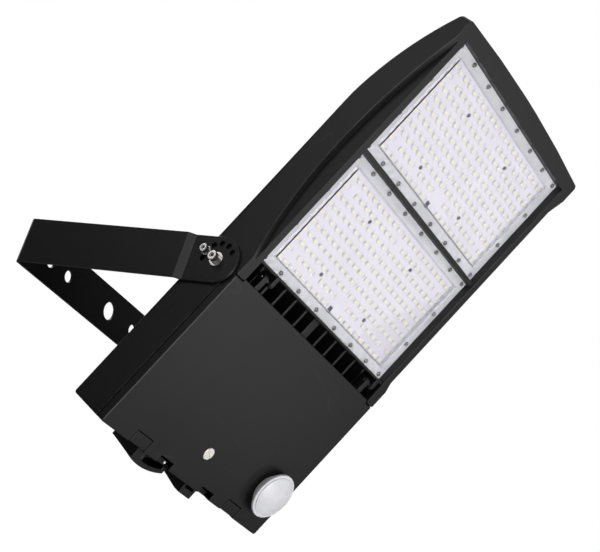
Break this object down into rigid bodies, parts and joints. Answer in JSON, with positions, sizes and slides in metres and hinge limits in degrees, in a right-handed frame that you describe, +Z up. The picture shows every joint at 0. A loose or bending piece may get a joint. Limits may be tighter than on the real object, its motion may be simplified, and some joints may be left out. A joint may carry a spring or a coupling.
{
  "type": "led flood light",
  "caption": "Outdoor LED flood light: flat black die-cast head with framed lens panels, hinged driver door, round sensor and a U-shaped tilting bracket.",
  "frame": {"origin": "middle of the bracket's wall face, on the axis of its centre hole", "axes": "+Z up, +Y into the wall the bracket is bolted to, so the lamp reaches out along -Y; +X to the lamp's right as seen from the front"},
  "size_m": [0.3504, 0.4378, 0.4782],
  "materials": {
    "bracket_black": "matt black powder coat on steel bar",
    "cast_black": "matt black powder coat on die-cast aluminium",
    "door_black": "matt black powder coat on die-cast aluminium",
    "bolt_steel": "bright stainless steel",
    "seal_rubber": "soft matt",
    "lens_seal": "pale silicone",
    "board_white": "white solder mask on a metal-core board",
    "lens_clear": "clear moulded polycarbonate",
    "driver_case": "plain extruded case, potted",
    "terminal_white": "moulded nylon",
    "surge_case": "potted plastic case",
    "sensor_white": "translucent white polyethylene"
  },
  "bodies": {
    "yoke": {"yoke_bracket": "bracket_black", "index_bolts": "bolt_steel", "index_washers": "bolt_steel", "index_spring_washers": "bolt_steel"},
    "head": {"housing": "cast_black", "pivot_bolts": "bolt_steel", "pivot_washers": "bolt_steel", "pivot_spring_washers": "bolt_steel", "hinge_pins": "bolt_steel", "entry_grommet": "seal_rubber", "lens_gasket_near": "lens_seal", "led_board_near": "board_white", "lens_near": "lens_clear", "lens_gasket_tip": "lens_seal", "led_board_tip": "board_white", "lens_tip": "lens_clear", "driver_left": "driver_case", "driver_right": "driver_case", "terminal_block": "terminal_white", "surge_module": "surge_case", "earth_stud": "bolt_steel"},
    "door": {"door": "door_black", "door_gasket": "seal_rubber", "sensor_seal": "seal_rubber", "sensor_neck": "sensor_white", "sensor_cap": "sensor_white", "sensor_nut": "terminal_white"},
    "screw": {"door_screw": "bolt_steel"}
  },
  "joints": [
    {"name": "head_tilt", "type": "hinge", "parent": "yoke", "child": "head", "pos_m": [0, -0.2435, 0], "axis": [1, 0, 0], "range_deg": [-29.3, 120.7]},
    {"name": "door_hinge", "type": "hinge", "parent": "head", "child": "door", "pos_m": [0, -0.27367, 0.00451], "axis": [-1, 0, 0], "range_deg": [0, 100]},
    {"name": "screw_turn", "type": "hinge", "parent": "door", "child": "screw", "pos_m": [0, -0.19574, -0.14497], "axis": [0, 0.8721, 0.4894], "continuous": true}
  ]
}
